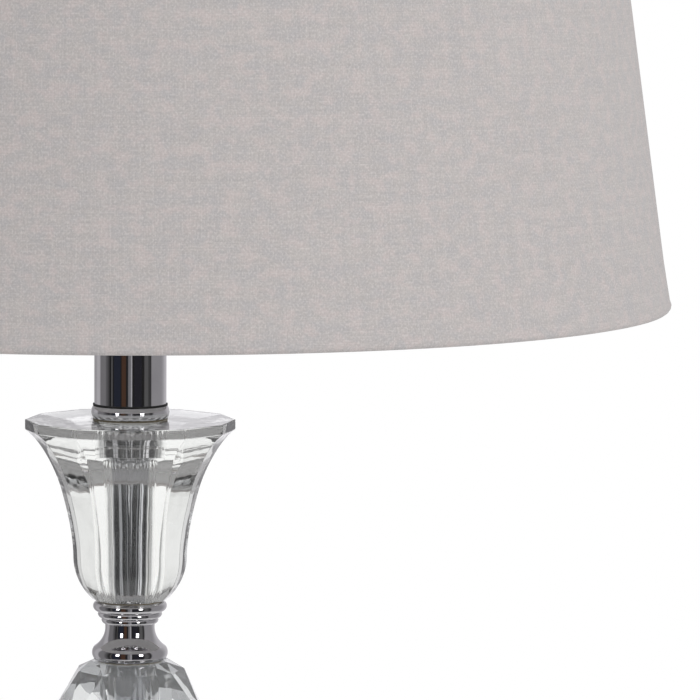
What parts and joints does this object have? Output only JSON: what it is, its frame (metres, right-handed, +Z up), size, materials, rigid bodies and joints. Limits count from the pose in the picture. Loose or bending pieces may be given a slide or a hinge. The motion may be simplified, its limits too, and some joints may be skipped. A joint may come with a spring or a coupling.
{
  "type": "candlestick table lamp",
  "caption": "Table lamp with a stacked cut-crystal and chrome candlestick stem, a bell cup under a chrome neck, a round stepped base and a tapered linen drum shade on a harp.",
  "frame": {"origin": "centre of the underside of the felt pad, on the surface that the lamp stands on", "axes": "+Z up along the stem, -Y towards the front with the switch, +Y towards the cord inlet, X along the harp"},
  "size_m": [0.356, 0.3558, 0.6791],
  "materials": {
    "chrome": "polished",
    "chrome_sleeve": "polished",
    "crystal": "cut and polished",
    "nickel": "bright",
    "zinc_steel": "zinc plated",
    "white_wire": "satin",
    "felt": "felted",
    "cast_weight": "as cast",
    "black_plastic": "moulded",
    "black_rubber": "matt",
    "washer_plastic": "translucent",
    "liner_paper": "waxed",
    "brass": "bright",
    "bare_aluminium": "rolled",
    "black_glass": "glossy",
    "bulb_cap_metal": "rolled thread",
    "bulb_glass": "clear",
    "bulb_stem": "clear",
    "linen": "plain woven linen",
    "shade_liner": "satin"
  },
  "bodies": {
    "lamp_base": {"felt_pad": "felt", "base_cover": "chrome", "base_weight": "cast_weight", "rod_washer": "zinc_steel", "lock_washer": "zinc_steel", "base_nut": "zinc_steel", "cord_bushing": "black_plastic", "threaded_rod": "zinc_steel", "reel_base": "chrome", "crystal_ball_lower": "crystal", "reel_lower": "chrome", "crystal_column": "crystal", "reel_upper": "chrome", "crystal_ball_upper": "crystal", "reel_top": "chrome", "crystal_cup": "crystal", "sleeve_ball_lower": "chrome_sleeve", "sleeve_column": "chrome_sleeve", "sleeve_ball_upper": "chrome_sleeve", "sleeve_cup": "chrome_sleeve", "crystal_washers": "washer_plastic", "neck_collar": "chrome", "neck_gasket": "black_rubber", "neck_tube": "chrome", "neck_cap": "chrome", "harp_saddle": "nickel", "saddle_nut": "zinc_steel", "holder_cap": "nickel", "holder_shell": "nickel", "holder_liner": "liner_paper", "holder_core": "black_plastic", "terminal_screws": "brass", "screw_shell": "bare_aluminium", "centre_contact": "brass"},
    "switch": {"switch_shaft": "zinc_steel", "switch_knob": "nickel"},
    "bulb": {"bulb_tip": "black_glass", "bulb_cap": "bulb_cap_metal", "bulb_glass": "bulb_glass", "bulb_stem": "bulb_stem"},
    "harp": {"harp_wire": "nickel"},
    "sleeve_left": {"harp_sleeve_left": "nickel"},
    "sleeve_right": {"harp_sleeve_right": "nickel"},
    "swivel": {"harp_stud": "nickel"},
    "shade": {"shade_fabric": "linen", "shade_liner": "shade_liner", "shade_bottom_ring": "white_wire", "shade_spider": "white_wire"},
    "finial": {"finial_base": "nickel", "finial_crystal": "crystal"}
  },
  "joints": [
    {"name": "switch_turn", "type": "hinge", "parent": "lamp_base", "child": "switch", "pos_m": [0, 0, 0.4707], "axis": [0, -1, 0], "continuous": true},
    {"name": "bulb_out", "type": "slide", "parent": "lamp_base", "child": "bulb", "axis": [0, 0, 1], "range_m": [0, 0.026]},
    {"name": "harp_lift", "type": "slide", "parent": "lamp_base", "child": "harp", "axis": [0, 0, 1], "range_m": [0, 0.03]},
    {"name": "sleeve_left_lift", "type": "slide", "parent": "harp", "child": "sleeve_left", "axis": [0, 0, 1], "range_m": [0, 0.016]},
    {"name": "sleeve_right_lift", "type": "slide", "parent": "harp", "child": "sleeve_right", "axis": [0, 0, 1], "range_m": [0, 0.016]},
    {"name": "shade_swivel", "type": "hinge", "parent": "harp", "child": "swivel", "pos_m": [0, 0, 0.6387], "axis": [0, 0, 1], "continuous": true},
    {"name": "shade_lift", "type": "slide", "parent": "swivel", "child": "shade", "axis": [0, 0, 1], "range_m": [0, 0.25]},
    {"name": "finial_turn", "type": "hinge", "parent": "shade", "child": "finial", "pos_m": [0, 0, 0.64355], "axis": [0, 0, 1], "continuous": true}
  ]
}
